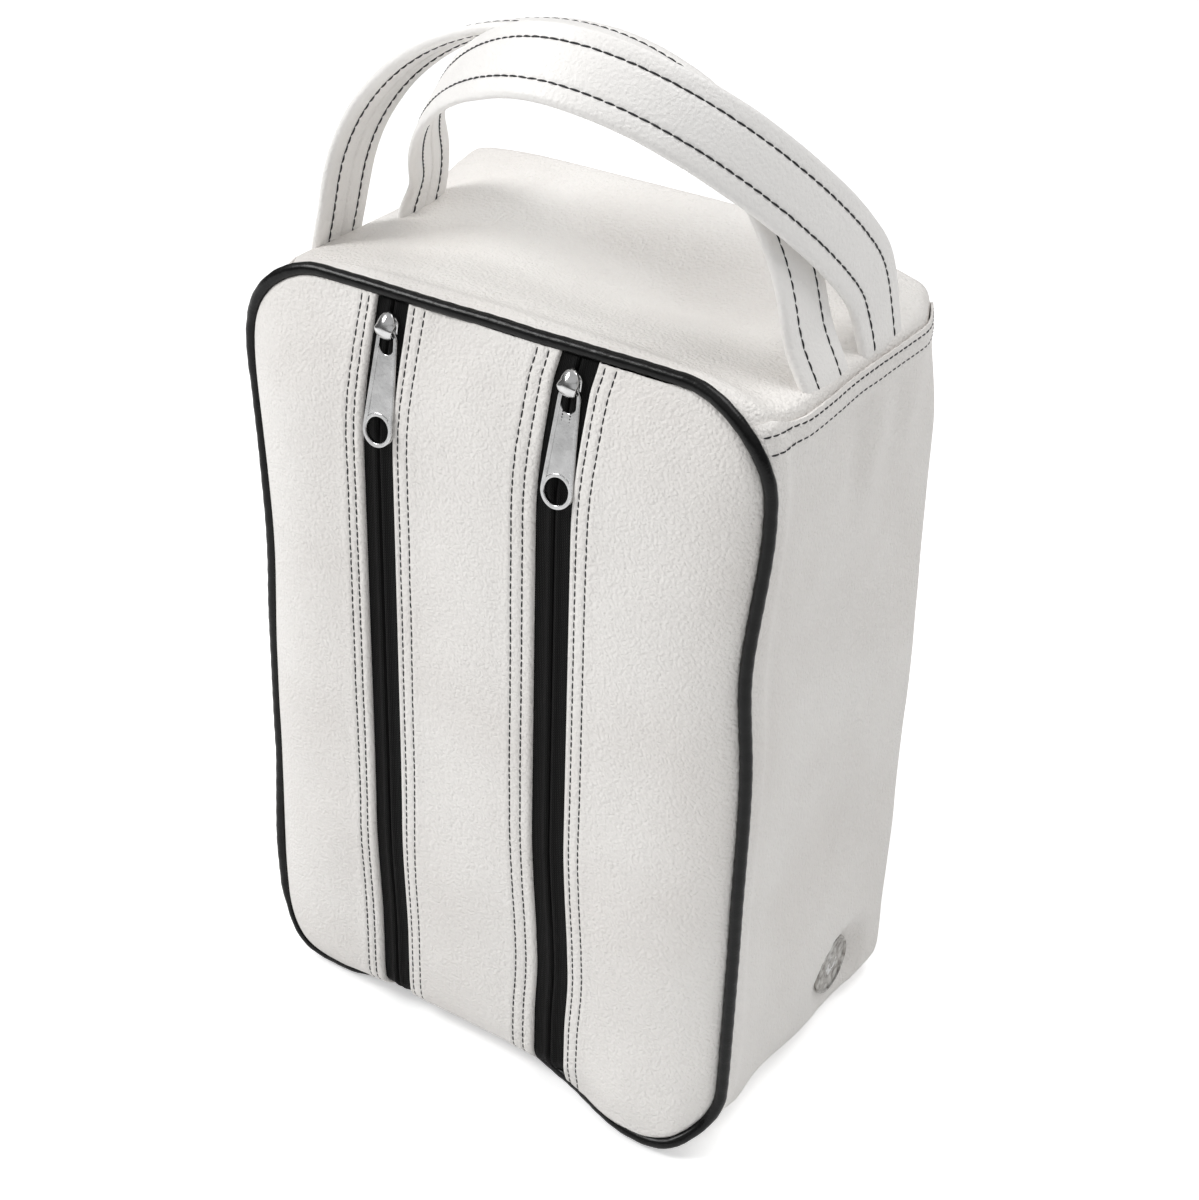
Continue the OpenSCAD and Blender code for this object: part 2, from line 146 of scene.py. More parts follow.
def grid_faces(rows, cols, closed=False, flip=False, first=0):
    """Quads between rows of points; first is the number of the grid's first point."""
    faces = []
    for i in range(rows - 1):
        for j in range(cols if closed else cols - 1):
            k = (j + 1) % cols
            low, high = first + i * cols, first + (i + 1) * cols
            quad = [low + j, low + k, high + k, high + j]
            faces.append(quad[::-1] if flip else quad)
    return faces


def grid_object(name, grid, thickness=0.0, closed=False, flip=False):
    """A sheet from rows of points; closed joins the last column to the first."""
    verts = [p for row in grid for p in row]
    obj = new_object(name, verts, grid_faces(len(grid), len(grid[0]), closed, flip))
    if thickness:
        solid = obj.modifiers.new("thickness", "SOLIDIFY")
        solid.thickness = thickness
        solid.offset = -1
    return obj


def loft(name, sections, closed_ends=True):
    """A closed form through loops of points."""
    verts = [p for loop in sections for p in loop]
    count = len(sections[0])
    faces = grid_faces(len(sections), count, closed=True)
    if closed_ends:
        faces.append(list(range(count))[::-1])
        faces.append([len(verts) - count + i for i in range(count)])
    return new_object(name, verts, faces)


def flip_outward(obj, last_ring=0):
    """Turns the faces of a mesh outward; a given size of its last ring of points closes it first."""
    mesh = bmesh.new()
    mesh.from_mesh(obj.data)
    if last_ring:
        mesh.verts.ensure_lookup_table()
        mesh.faces.new(list(mesh.verts)[-last_ring:])
    bmesh.ops.recalc_face_normals(mesh, faces=mesh.faces)
    mesh.to_mesh(obj.data)
    mesh.free()
    return obj


def bar(name, points, radius, sides):
    """A round bar along a closed line of points; radius is a function of the point's index."""
    n = len(points)
    sections = []
    for i, p in enumerate(points):
        along = (points[(i + 1) % n] - points[i - 1]).normalized()
        side = along.cross(Vector((0, 1, 0))).normalized()
        up = side.cross(along)
        turn = [2 * math.pi * k / sides for k in range(sides)]
        sections.append([p + radius(i) * (math.cos(t) * side + math.sin(t) * up) for t in turn])
    return flip_outward(loft(name, sections + [sections[0]], closed_ends=False))


def run_length(points):
    """Distance along a line at each of its points."""
    return np.concatenate([[0], np.cumsum(np.linalg.norm(np.diff(points, axis=0), axis=1))])


def spaced(points, count, keep_last=False):
    """Evenly spaced points along a line."""
    run = run_length(points)
    at = np.linspace(0, run[-1], count, endpoint=keep_last)
    return np.stack([np.interp(at, run, points[:, k]) for k in range(points.shape[1])], 1)


def resample(loop, count):
    """A closed loop with evenly spaced points."""
    return spaced(np.array(loop + [loop[0]], float), count)


# Rings of one stitch: place along its half length, thickness, and lift in thread radii
STITCH_RINGS = ((-1.0, 0.35, -0.55), (-0.72, 0.85, 0.0), (-0.25, 1.0, 0.42),
                (0.25, 1.0, 0.42), (0.72, 0.85, 0.0), (1.0, 0.35, -0.55))
STITCH_SIDES = 6


def stitches(name, rows, pitch, length, radius, replaced, body="bag"):
    """Separate threads along rows of (point, normal); each dips into the cloth at both ends."""
    verts, faces = [], []
    rng = random.Random(name)
    for row in rows:
        points = np.array([list(p) for p, _ in row])
        normals = np.array([list(n) for _, n in row])
        run = run_length(points)
        count = int(run[-1] / pitch)
        for k in range(count):
            at = (k + 0.5) * run[-1] / count
            half = 0.5 * length * run[-1] / count * rng.uniform(0.92, 1.06)
            ends = [Vector([np.interp(place, run, points[:, a]) for a in range(3)])
                    for place in (at - half, at + half)]
            normal = Vector([np.interp(at, run, normals[:, a]) for a in range(3)]).normalized()
            along = (ends[1] - ends[0]).normalized()
            side = along.cross(normal).normalized()
            along = (along + side * rng.uniform(-0.09, 0.09)).normalized()
            side = along.cross(normal).normalized()
            centre = (ends[0] + ends[1]) / 2
            first = len(verts)
            for s, r, lift in STITCH_RINGS:
                for t in range(STITCH_SIDES):
                    a = 2 * math.pi * t / STITCH_SIDES
                    verts.append(centre + along * (s * half) + side * (math.cos(a) * r * radius)
                                 + normal * ((math.sin(a) * r * 0.8 + lift) * radius))
            last = first + STITCH_SIDES * (len(STITCH_RINGS) - 1)
            faces += grid_faces(len(STITCH_RINGS), STITCH_SIDES, closed=True, first=first)
            faces.append([first + t for t in range(STITCH_SIDES)][::-1])
            faces.append([last + t for t in range(STITCH_SIDES)])
    obj = flip_outward(new_object(name, verts, faces))
    return finish_mesh(obj, THREAD, replaced, body)


def plate(name, loops, depth, bevel, place, lean=0.0):
    """A bevelled plate with holes: loops are (x, z) outlines, the first outside, the rest holes."""
    curve = bpy.data.curves.new(name, "CURVE")
    curve.dimensions = "2D"
    curve.fill_mode = "BOTH"
    curve.extrude = depth / 2 - bevel
    curve.bevel_depth = bevel
    curve.bevel_resolution = 2
    for loop in loops:
        spline = curve.splines.new("POLY")
        spline.points.add(len(loop) - 1)
        for point, (x, z) in zip(spline.points, loop):
            point.co = (x, z, 0, 1)
        spline.use_cyclic_u = True
    source = link_object(name + "_curve", curve)
    bpy.context.view_layer.update()
    mesh = bpy.data.meshes.new_from_object(source)
    bpy.data.objects.remove(source)
    mesh.name = name
    stand = Matrix.Rotation(math.pi / 2, 4, "X")
    mesh.transform(Matrix.Translation(place) @ Matrix.Rotation(-lean, 4, "X") @ stand)
    return link_object(name, mesh)


def join(name, objects):
    """One object from several meshes."""
    mesh = bmesh.new()
    for obj in objects:
        mesh.from_mesh(obj.data)
        bpy.data.objects.remove(obj)
    data = bpy.data.meshes.new(name)
    mesh.to_mesh(data)
    mesh.free()
    return link_object(name, data)


# ---- Materials ----


def material(name, base, roughness, metallic=0.0, coat=0.0):
    """A node material; returns it with its node tree, shader and object coordinates."""
    mat = bpy.data.materials.new(name)
    mat.use_nodes = True
    nodes = mat.node_tree.nodes
    shader = nodes["Principled BSDF"]
    values = {"Base Color": (*base, 1), "Roughness": roughness,
              "Metallic": metallic, "Coat Weight": coat}
    for socket, value in values.items():
        shader.inputs[socket].default_value = value
    coords = nodes.new("ShaderNodeTexCoord")
    return mat, mat.node_tree, shader, coords.outputs["Object"]


def add_texture(tree, coords, kind, **values):
    """A texture node on the given coordinates."""
    node = tree.nodes.new("ShaderNodeTex" + kind)
    for socket, value in values.items():
        node.inputs[socket].default_value = value
    tree.links.new(coords, node.inputs["Vector"])
    return node


def add_noise(tree, coords, scale, detail=3.0):
    return add_texture(tree, coords, "Noise", Scale=scale, Detail=detail).outputs["Fac"]


def add_voronoi(tree, coords, scale, feature="F1"):
    node = add_texture(tree, coords, "Voronoi", Scale=scale)
    node.feature = feature
    return node.outputs["Distance"]


def add_wave(tree, coords, scale, axis, distortion=0.0):
    node = add_texture(tree, coords, "Wave", Scale=scale, Distortion=distortion)
    node.bands_direction = axis
    return node.outputs["Fac"]


def add_math(tree, operation, a, b):
    node = tree.nodes.new("ShaderNodeMath")
    node.operation = operation
    for socket, value in zip(node.inputs, (a, b)):
        if isinstance(value, (int, float)):
            socket.default_value = value
        else:
            tree.links.new(value, socket)
    return node.outputs[0]


def add_ramp(tree, fac, stops):
    """A colour ramp; a single number stands for a grey."""
    stops = [(place, (c,) * 3 if isinstance(c, (int, float)) else c) for place, c in stops]
    node = tree.nodes.new("ShaderNodeValToRGB")
    ramp = node.color_ramp
    for element, (place, colour) in zip(ramp.elements, (stops[0], stops[-1])):
        element.position = place
        element.color = (*colour, 1)
    for place, colour in stops[1:-1]:
        ramp.elements.new(place).color = (*colour, 1)
    tree.links.new(fac, node.inputs["Fac"])
    return node.outputs["Color"]


def add_scaled(tree, a, b, factor):
    """a + b * factor"""
    return add_math(tree, "ADD", a, add_math(tree, "MULTIPLY", b, factor))


def paint(tree, shader, fac, stops, socket="Base Color"):
    """Drives a socket of the shader by a ramp."""
    tree.links.new(add_ramp(tree, fac, stops), shader.inputs[socket])


def add_bump(tree, shader, height, distance, strength=1.0):
    node = tree.nodes.new("ShaderNodeBump")
    node.inputs["Distance"].default_value = distance
    node.inputs["Strength"].default_value = strength
    tree.links.new(height, node.inputs["Height"])
    tree.links.new(node.outputs["Normal"], shader.inputs["Normal"])


PEBBLES, CREASES, FINE_GRAIN = 760, 520, 1500
WARP_SCALE, WARP_REACH = 300, 0.7 * MM


def leather(name, light, dark, roughness, grain=1.0):
    """Pebbled leatherette: small cells with fine creases, and a slow change of tone and gloss."""
    mat, tree, shader, coords = material(name, light, roughness)
    warp = tree.nodes.new("ShaderNodeVectorMath")
    warp.operation = "ADD"
    bend = add_texture(tree, coords, "Noise", Scale=WARP_SCALE)
    shift = tree.nodes.new("ShaderNodeVectorMath")
    shift.operation = "SCALE"
    shift.inputs["Scale"].default_value = WARP_REACH
    tree.links.new(bend.outputs["Color"], shift.inputs[0])
    tree.links.new(coords, warp.inputs[0])
    tree.links.new(shift.outputs[0], warp.inputs[1])
    pebbles = add_voronoi(tree, warp.outputs[0], PEBBLES, "SMOOTH_F1")
    creases = add_voronoi(tree, warp.outputs[0], CREASES, "DISTANCE_TO_EDGE")
    crease_step = add_ramp(tree, creases, [(0.0, 0), (0.12, 1)])
    fine = add_noise(tree, coords, FINE_GRAIN, 4)
    height = add_scaled(tree, add_math(tree, "MULTIPLY", pebbles, -1.1), crease_step, 0.18)
    height = add_scaled(tree, height, fine, 0.3)
    add_bump(tree, shader, height, 0.5 * MM * grain, 0.9)
    paint(tree, shader, add_noise(tree, coords, 14, 4), [(0.3, dark), (0.6, light)])
    gloss = add_math(tree, "MULTIPLY_ADD", add_noise(tree, coords, 60, 3), 0.14)
    gloss.node.inputs[2].default_value = roughness - 0.07
    tree.links.new(gloss, shader.inputs["Roughness"])
    return mat


def piping_leather():
    """Smooth glossy black leatherette with faint cross creases."""
    mat, tree, shader, coords = material("piping_black", (0.012, 0.012, 0.013), 0.27, coat=0.1)
    shader.inputs["Specular IOR Level"].default_value = 0.2
    creases = add_noise(tree, coords, 420, 3)
    fine = add_voronoi(tree, coords, 1400, "SMOOTH_F1")
    add_bump(tree, shader, add_scaled(tree, creases, fine, 0.4), 0.25 * MM, 0.6)
    shader.inputs["Coat Roughness"].default_value = 0.25
    paint(tree, shader, add_noise(tree, coords, 90), [(0.3, 0.003), (0.7, 0.008)])
    return mat


def woven_tape():
    """Black herringbone zip tape: ribs along the tape crossed by fine weft."""
    mat, tree, shader, coords = material("zip_tape_black", (0.01, 0.01, 0.011), 0.62)
    shader.inputs["Specular IOR Level"].default_value = 0.12
    ribs = add_wave(tree, coords, 420, "X")
    weft = add_wave(tree, coords, 520, "DIAGONAL", 1.5)
    fuzz = add_noise(tree, coords, 2500, 2)
    height = add_scaled(tree, add_scaled(tree, ribs, weft, 0.7), fuzz, 0.5)
    add_bump(tree, shader, height, 0.16 * MM, 0.9)
    paint(tree, shader, weft, [(0.2, 0.002), (0.9, 0.008)])
    shader.inputs["Sheen Weight"].default_value = 0.02
    return mat


def cloth(name, base):
    """Plain woven cloth for the lining, the bindings and the divider."""
    mat, tree, shader, coords = material(name, base, 0.8)
    warp = add_wave(tree, coords, 330, "X")
    weft = add_wave(tree, coords, 330, "Z")
    add_bump(tree, shader, add_math(tree, "MULTIPLY", warp, weft), 0.2 * MM, 0.8)
    dark = tuple(0.6 * c for c in base)
    paint(tree, shader, add_noise(tree, coords, 40), [(0.3, dark), (0.7, base)])
    return mat


def thread():
    """Twisted black polyester thread."""
    mat, tree, shader, coords = material("thread_black", (0.018, 0.018, 0.021), 0.5)
    twist = add_wave(tree, coords, 1500, "DIAGONAL", 0.5)
    add_bump(tree, shader, twist, 0.08 * MM, 0.8)
    paint(tree, shader, twist, [(0.1, (0.006, 0.006, 0.008)), (0.9, (0.022, 0.022, 0.026))])
    return mat


def chrome():
    """Bright plated zinc with faint polishing marks and small pits."""
    mat, tree, shader, coords = material("zip_chrome", (0.72, 0.72, 0.73), 0.16, metallic=1.0)
    marks = add_noise(tree, coords, 900, 4)
    pits = add_voronoi(tree, coords, 500, "F1")
    add_bump(tree, shader, add_scaled(tree, marks, pits, 0.3), 0.05 * MM, 0.5)
    paint(tree, shader, add_noise(tree, coords, 260), [(0.3, 0.12), (0.7, 0.27)], "Roughness")
    paint(tree, shader, add_noise(tree, coords, 150), [(0.3, 0.62), (0.65, 0.8)])
    return mat


def badge_metal():
    """Hammered pewter: bright bosses over darker hollows."""
    mat, tree, shader, coords = material("badge_pewter", (0.5, 0.48, 0.45), 0.32, metallic=1.0)
    hollows = add_voronoi(tree, coords, 330, "SMOOTH_F1")
    fine = add_noise(tree, coords, 700, 4)
    add_bump(tree, shader, add_scaled(tree, hollows, fine, 0.5), 0.3 * MM, 0.8)
    paint(tree, shader, add_math(tree, "MULTIPLY", hollows, fine),
          [(0.1, (0.6, 0.59, 0.57)), (0.3, (0.33, 0.31, 0.29)), (0.5, (0.12, 0.11, 0.1))])
    return mat


# Each look is a material and the name of its slot
WHITE = leather("leatherette_white", (0.87, 0.848, 0.82), (0.815, 0.785, 0.755), 0.42), "leatherette"
STRAP_WHITE = (leather("leatherette_strap", (0.93, 0.915, 0.895), (0.88, 0.862, 0.84), 0.42, 0.5),
               "leatherette")
PIPING = piping_leather(), "piping"
TAPE = woven_tape(), "zip_tape"
LINING = cloth("lining_black", (0.03, 0.03, 0.032)), "lining_cloth"
BOARD = cloth("board_grey", (0.35, 0.33, 0.3)), "board"
THREAD = thread(), "thread"
CHROME = chrome(), "zip_metal"
BADGE = badge_metal(), "badge_metal"

# ---- Shape of the front: it stands proud of the piping, and its lower right corner kicks forward ----

FACE = FRONT - 1.2 * MM
LOW = 3.5 * MM
TOP_R = 37 * MM
LOW_R = 30 * MM
TAPE_DEPTH = 2.3 * MM
# Waves of the front's edge on each side: an even shift, then (height, width, size), in millimetres
EDGE_WAVES = {
    1: (0.5, ((240, 32, -2.9), (300, 20, 0.8))),
    -1: (0.0, ((306, 24, 2.7), (228, 42, -4.8), (55, 52, 4.2))),
}
# Bends of a zip's line: (height where it starts, height where it ends, size), in millimetres
ZIP_BENDS = {
    "left": ((340, 285, -2.4), (150, 60, -0.8), (22, 6, 1.0)),
    "right": ((335, 350, 1.6), (340, 280, -2.6), (140, 85, 2.2), (70, 35, -1.6)),
}


def front_push(x, z):
    """How far the front stands forward of its own flat plane."""
    full = mix(10.5, 11.2, smooth(-40 * MM, 40 * MM, x)) * MM
    across = 1 - min(abs(x) / (HALF + 1 * MM), 1) ** 8
    shoulder = 1 - min(max(z - 285 * MM, 0) / (TOP - 283 * MM), 1) ** 2.2
    waist = 1 - 0.27 * smooth(110 * MM, 45 * MM, z)
    belly = full * across * shoulder * waist
    tucked = 6.5 * smooth(-82 * MM, -58 * MM, x) * smooth(40 * MM, 8 * MM, x)
    kick = 14.5 * smooth(28 * MM, 84 * MM, x)
    seam = (2 - tucked + kick) * MM * (1 - 0.75 * smooth(100 * MM, 119 * MM, x))
    roll = 12 * MM + 44 * MM * smooth(40 * MM, 80 * MM, x)
    low = max(1 - max(z - LOW, 0) / roll, 0) ** 2
    return belly + (seam - belly) * low


def edge_x(z, side, inset=0.0):
    """Sideways place of the front's edge at a height: side is 1 right, -1 left."""
    top_r, low_r = TOP_R - inset, LOW_R - inset
    wave, waves = EDGE_WAVES[side]
    for height, width, size in waves:
        wave += size * bump(z, height * MM, width * MM)
    half = HALF + wave * MM - inset
    if z > TOP - TOP_R:
        rise = min((z - TOP + TOP_R) / top_r, 1.0)
        half -= top_r * (1 - math.sqrt(1 - rise * rise))
    elif z < LOW + LOW_R:
        fall = min((LOW + LOW_R - z) / low_r, 1.0)
        half -= low_r * (1 - math.sqrt(1 - fall * fall))
    return side * half


def front_outline(inset, count=160):
    """Loop of the front's edge seen from the front, counter-clockwise from the lower right."""
    low, high = LOW + inset, TOP - inset
    turns = [math.pi * (k / (count - 1) - 0.5) for k in range(count)]
    heights = [(low + high) / 2 + (high - low) / 2 * math.sin(turn) for turn in turns]
    right = [(edge_x(z, 1, inset), z) for z in heights]
    left = [(edge_x(z, -1, inset), z) for z in heights[::-1]]
    span = 22
    top = [(mix(right[-1][0], left[0][0], i / span), high) for i in range(1, span)]
    base = [(mix(left[-1][0], right[0][0], i / span), low) for i in range(1, span)]
    return right + top + left + base


def zip_line(side, z):
    """Sideways place of a zip's middle at a height."""
    bend = sum(size * smooth(start * MM, end * MM, z) for start, end, size in ZIP_BENDS[side])
    return ZIP_X[side] + bend * MM


# ---- Front panels ----

PANELS = {
    "left": ("front_panel_left", None, ("left", "low")),
    "centre": ("front_panel_centre", ("left", "high"), ("right", "low")),
    "right": ("front_panel_right", ("right", "high"), None),
}
PIPED_IN = 2.2 * MM
TURNED_IN = (0.2 * MM, 2.4 * MM)
PANEL_ROWS, MIDDLE_COLUMNS = 190, 20


def panel_edges(panel, z):
    """Sideways places of a panel's two edges at a height."""
    _, low, high = PANELS[panel]
    x0 = zip_line(low[0], z) + SLOT_HALF[low[0]] if low else edge_x(z, -1, PIPED_IN)
    x1 = zip_line(high[0], z) - SLOT_HALF[high[0]] if high else edge_x(z, 1, PIPED_IN)
    return x0, x1


def edge_drop(d, edge, z):
    """How far the surface lies behind the panel's face at a distance d from its edge."""
    if edge is None:
        return 3.6 * MM * (1 - math.sqrt(1 - min(max(1 - d / (5 * MM), 0), 1) ** 2))
    fold = 1.3 * MM
    drop = fold - math.sqrt(max(fold * fold - max(fold - d, 0) ** 2, 0))
    for row in STITCH_ROWS[edge]:
        drop += 0.45 * MM * bump(d, row * MM, 0.8 * MM)
    outer = STITCH_ROWS[edge][1] * MM
    drop += 0.5 * MM * smooth(outer + 0.8 * MM, outer + 4 * MM, d)
    return drop + 0.14 * MM * math.sin(z / (1.5 * MM)) * bump(d, outer * 0.7, 3 * MM)


def panel_y(panel, x, z):
    """Depth of a front panel's face."""
    _, low, high = PANELS[panel]
    x0, x1 = panel_edges(panel, z)
    width = x1 - x0
    share = min(max((x - x0) / width, 0), 1)
    bulge = math.sin(math.pi * share) ** 0.7
    crown = (2.2 + 1.6 * smooth(120 * MM, 30 * MM, z)) * MM
    crown = crown * smooth(TOP, TOP - 45 * MM, z) * smooth(LOW, 22 * MM, z)
    waves = 2.2 * soft_noise(x, 0, z, 60 * MM, 3.1) + 0.5 * soft_noise(x, 0, z, 24 * MM, 8.4)
    waves += 0.5 * bump(z, TOP - 26 * MM, 12 * MM) * soft_noise(x, 0, z, 13 * MM, 4.4)
    drop = edge_drop(x - x0, low, z) + edge_drop(x1 - x, high, z)
    return FACE - front_push(x, z) - bulge * (crown + waves * MM) + drop


def panel_columns(edge):
    """Distances from a panel's edge in millimetres, dense where it rolls or is stitched."""
    if edge is None:
        return [0, 0.3, 0.8, 1.5, 2.4, 3.6, 5.2, 7.5, 10.5, 14]
    near = [0, 0.3, 0.7, 1.2, 1.8]
    for row in STITCH_ROWS[edge]:
        near += [row - 0.9, row - 0.45, row, row + 0.45, row + 0.9]
    return sorted(set(near + [near[-1] + 1.5, near[-1] + 3.5]))


def front_panel(panel):
    """One front panel, with its rows close together near the top and the foot."""
    node, low, high = PANELS[panel]
    grid = []
    for k in range(PANEL_ROWS):
        turn = math.pi * (k / (PANEL_ROWS - 1) - 0.5)
        blend = 0.5 * math.sin(turn) + 0.5 * turn / (math.pi / 2)
        z = (LOW + TOP) / 2 + ((TOP - LOW) / 2 - PIPED_IN) * blend
        x0, x1 = panel_edges(panel, z)
        near, far = ([d * MM for d in panel_columns(e)] for e in (low, high))
        squeeze = min(1.0, (x1 - x0) / (near[-1] + far[-1] + 6 * MM))
        near, far = [d * squeeze for d in near], [d * squeeze for d in far]
        middle = list(np.linspace(near[-1], x1 - x0 - far[-1], MIDDLE_COLUMNS)[1:-1])
        places = near + middle + [x1 - x0 - d for d in far[::-1]]
        row = [(x0 + d, panel_y(panel, x0 + d, z), z) for d in places]
        if low:
            row.insert(0, (row[0][0] + TURNED_IN[0], row[0][1] + TURNED_IN[1], z))
        if high:
            row.append((row[-1][0] - TURNED_IN[0], row[-1][1] + TURNED_IN[1], z))
        grid.append(row)
    finish_mesh(grid_object("front_" + panel, grid, SKIN), WHITE, [node])


def zip_heights(step):
    """Evenly spaced heights along a zip, about one step apart."""
    low, high = LOW + 2.5 * MM, TOP - 3 * MM
    count = int((high - low) / step)
    return [low + i * (high - low) / count for i in range(count + 1)]


def zip_stitches(side):
    """Topstitching of the two panel edges along one zip."""
    rows = []
    for panel, (_, low, high) in PANELS.items():
        for edge, sign in ((low, 1), (high, -1)):
            if not edge or edge[0] != side:
                continue
            for offset in STITCH_ROWS[edge]:
                row = []
                for z in zip_heights(2 * MM):
                    x = panel_edges(panel, z)[0 if sign > 0 else 1] + sign * offset * MM
                    row.append((Vector((x, panel_y(panel, x, z), z)), Vector((0, -1, 0))))
                rows.append(row)
    replaced = [f"{side}_zip_topstitching"]
    stitches(f"{side}_zip_stitches", rows, 3.4 * MM, 0.95, 0.34 * MM, replaced)


def tape_y(side, z):
    """Depth of a zip's tape at a height."""
    return FACE - front_push(zip_line(side, z), z) + TAPE_DEPTH


TAPE_COLUMNS = (0.25, 0.5, 0.8, 1.2, 1.7, 2.3, 2.9, 3.5, 4.2, 5.2, 6.4)
RIB_STEP = 0.55 * MM


def zip_tape(side):
    """The closed zip seen from outside: two ribbed tapes that meet in a groove over the hidden coil."""
    half_columns = [d * MM for d in TAPE_COLUMNS] + [SLOT_HALF[side] + 1.2 * MM]
    columns = [-d for d in half_columns[::-1]] + [0.0] + half_columns
    grid = []
    for i, z in enumerate(zip_heights(RIB_STEP)):
        row = []
        for d in columns:
            groove = 1.1 * MM * bump(d, 0, 0.38 * MM) - 0.25 * MM * bump(d, 0, 0.3 * MM) * (i % 3 == 0)
            ridge = 0.75 * MM * bump(abs(d), 1.7 * MM, 1.25 * MM)
            rib = 0.13 * MM * (i % 2) * smooth(0.3 * MM, 0.8 * MM, abs(d))
            row.append((zip_line(side, z) + d, tape_y(side, z) - ridge + groove - rib, z))
        grid.append(row)
    replaced = [f"{side}_zip_{rim}_{part}" for part in ("tape", "coil") for rim in ("outer", "inner")]
    finish_mesh(grid_object(f"{side}_zip_chain", grid, 0.8 * MM), TAPE, replaced)


def zip_stops(side):
    """Two small top stops and one bottom stop, each a bevelled clamp."""
    parts = []
    top_z, low_z = TOP - 7.5 * MM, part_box(f"{side}_zip_stops")[0].z + 1.5 * MM
    for name, x, z, w, h in (("a", -1.6, top_z, 2.0, 3.6), ("b", 1.6, top_z, 2.0, 3.6),
                             ("c", 0, low_z, 5.4, 3.0)):
        loop = [(sx * w / 2 * MM, sz * h / 2 * MM) for sx, sz in ((-1, -1), (1, -1), (1, 1), (-1, 1))]
        place = Vector((zip_line(side, z) + x * MM, tape_y(side, z) + 1.8 * MM, z))
        parts.append(plate(f"{side}_stop_{name}", [loop], 1.5 * MM, 0.35 * MM, place))
    finish_mesh(join(f"{side}_zip_end_stops", parts), CHROME, [f"{side}_zip_stops"])


for panel_name in PANELS:
    front_panel(panel_name)
for zip_side in SIDES:
    zip_tape(zip_side)
    zip_stitches(zip_side)
    zip_stops(zip_side)

# ---- Sliders and pull tabs ----

EYE_R = 5.2 * MM
HEAD_R = 4.8 * MM
TAIL_R = EYE_R + 1.6 * MM
BAR_Y, BAR_Z = JOINTS["left_pull_swing"]["pos_m"][1:]
EYE_DROP = 38 * MM
LEAN = math.radians(12)


def circle(radius, z, count=40, start=0.0, end=360.0):
    """Points of a circle or an arc around (0, z), from start to end in degrees."""
    points = count + (end - start < 360)
    turns = [math.radians(start + (end - start) * k / count) for k in range(points)]
    return [(radius * math.cos(t), z + radius * math.sin(t)) for t in turns]


def tab_outline(inset):
    """Outline of a pull tab: a small head that widens to a round tail."""
    head_z = -2.9 * MM
    tilt = math.degrees(math.asin((TAIL_R - HEAD_R) / (EYE_DROP + head_z)))
    return (circle(HEAD_R - inset, head_z, 24, tilt, 180 - tilt)
            + circle(TAIL_R - inset, -EYE_DROP, 30, 180 - tilt, 360 + tilt))


def window(grow):
    """D-shaped opening: flat towards the hinge bar, round below."""
    half, top, depth = 3.4 * MM + grow, -1.2 * MM + grow, 4.0 * MM
    arc = circle(half, top - depth, 16, 180, 360)[1:-1]
    return [(-half, top), (-half, top - depth)] + arc + [(half, top - depth), (half, top)]


def pull_tab(side):
    """Tab with a raised rim, a D-shaped opening, a plain sunk panel and a round eye."""
    place = Vector((ZIP_X[side], BAR_Y, BAR_Z))
    eye_hole, eye_ring = (circle(EYE_R + grow * MM, -EYE_DROP) for grow in (0.25, 1.25))
    layers = (
        ("body", [tab_outline(0.3 * MM), window(0.2 * MM), eye_hole], 1.1 * MM, 0.25 * MM),
        ("rim", [tab_outline(0.25 * MM), tab_outline(1.3 * MM)], 2.0 * MM, 0.3 * MM),
        ("eye", [eye_ring, eye_hole], 1.8 * MM, 0.25 * MM),
    )
    parts = [plate(f"{side}_tab_{layer}", loops, depth, bevel, place, LEAN)
             for layer, loops, depth, bevel in layers]
    tab = join(f"{side}_pull", parts)
    finish_mesh(tab, CHROME, [f"{side}_pull_tab"], f"{side}_pull")


# Right half of the slider's shell, from its narrow foot to its shoulders, in millimetres
HALF_SHELL = ((2.4, -5.4), (3.0, -4.6), (3.3, -1.5), (3.6, 1.2), (3.6, 2.6), (2.8, 4.0), (1.4, 4.6))
CROWN_STEPS, CROWN_SIDES = 16, 20


def slider(side):
    """Slider body with rounded shoulders, and a crown that arches over the tab's hinge bar."""
    x, y = ZIP_X[side], BAR_Y + 1.0 * MM
    shell = [(a * MM, b * MM) for a, b in HALF_SHELL] + [(-a * MM, b * MM) for a, b in HALF_SHELL[::-1]]
    front = plate(f"{side}_shell", [shell], 1.7 * MM, 0.5 * MM, Vector((x, y, SLIDER_Z)))
    sections = []
    for k in range(CROWN_STEPS + 1):
        t = k / CROWN_STEPS
        z = mix(BAR_Z - 3.4 * MM, SLIDER_Z + 6.4 * MM, t)
        rise = math.sin(math.pi * t ** 0.9) ** 0.7
        egg = math.sqrt(max(1 - (2 * t ** 0.9 - 1) ** 2, 0))
        half = (0.4 + 3.8 * egg * mix(0.75, 1, smooth(0.1, 0.6, t))) * MM
        outer = y - (0.4 + 4.7 * rise) * MM
        hollow = smooth(0.04, 0.14, t) * smooth(0.62, 0.52, t)
        inner = mix(y + 0.3 * MM, outer + 1.15 * MM, hollow)
        loop = []
        for a in range(CROWN_SIDES):
            turn = 2 * math.pi * a / CROWN_SIDES
            side_x = half * math.cos(turn)
            ridge = 0.3 * MM * bump(side_x, 0, 1.3 * MM) * max(-math.sin(turn), 0)
            depth = (outer + inner) / 2 + (inner - outer) / 2 * math.sin(turn)
            loop.append(Vector((x + side_x, depth - ridge, z)))
        sections.append(loop)
    crown = flip_outward(loft(f"{side}_crown", sections))
    replaced = [f"{side}_slider_{part}" for part in ("body", "bridge", "spring")]
    finish_mesh(join(f"{side}_slider", [front, crown]), CHROME, replaced, f"{side}_slider")


for zip_side in SIDES:
    pull_tab(zip_side)
    slider(zip_side)

# ---- Piping ----


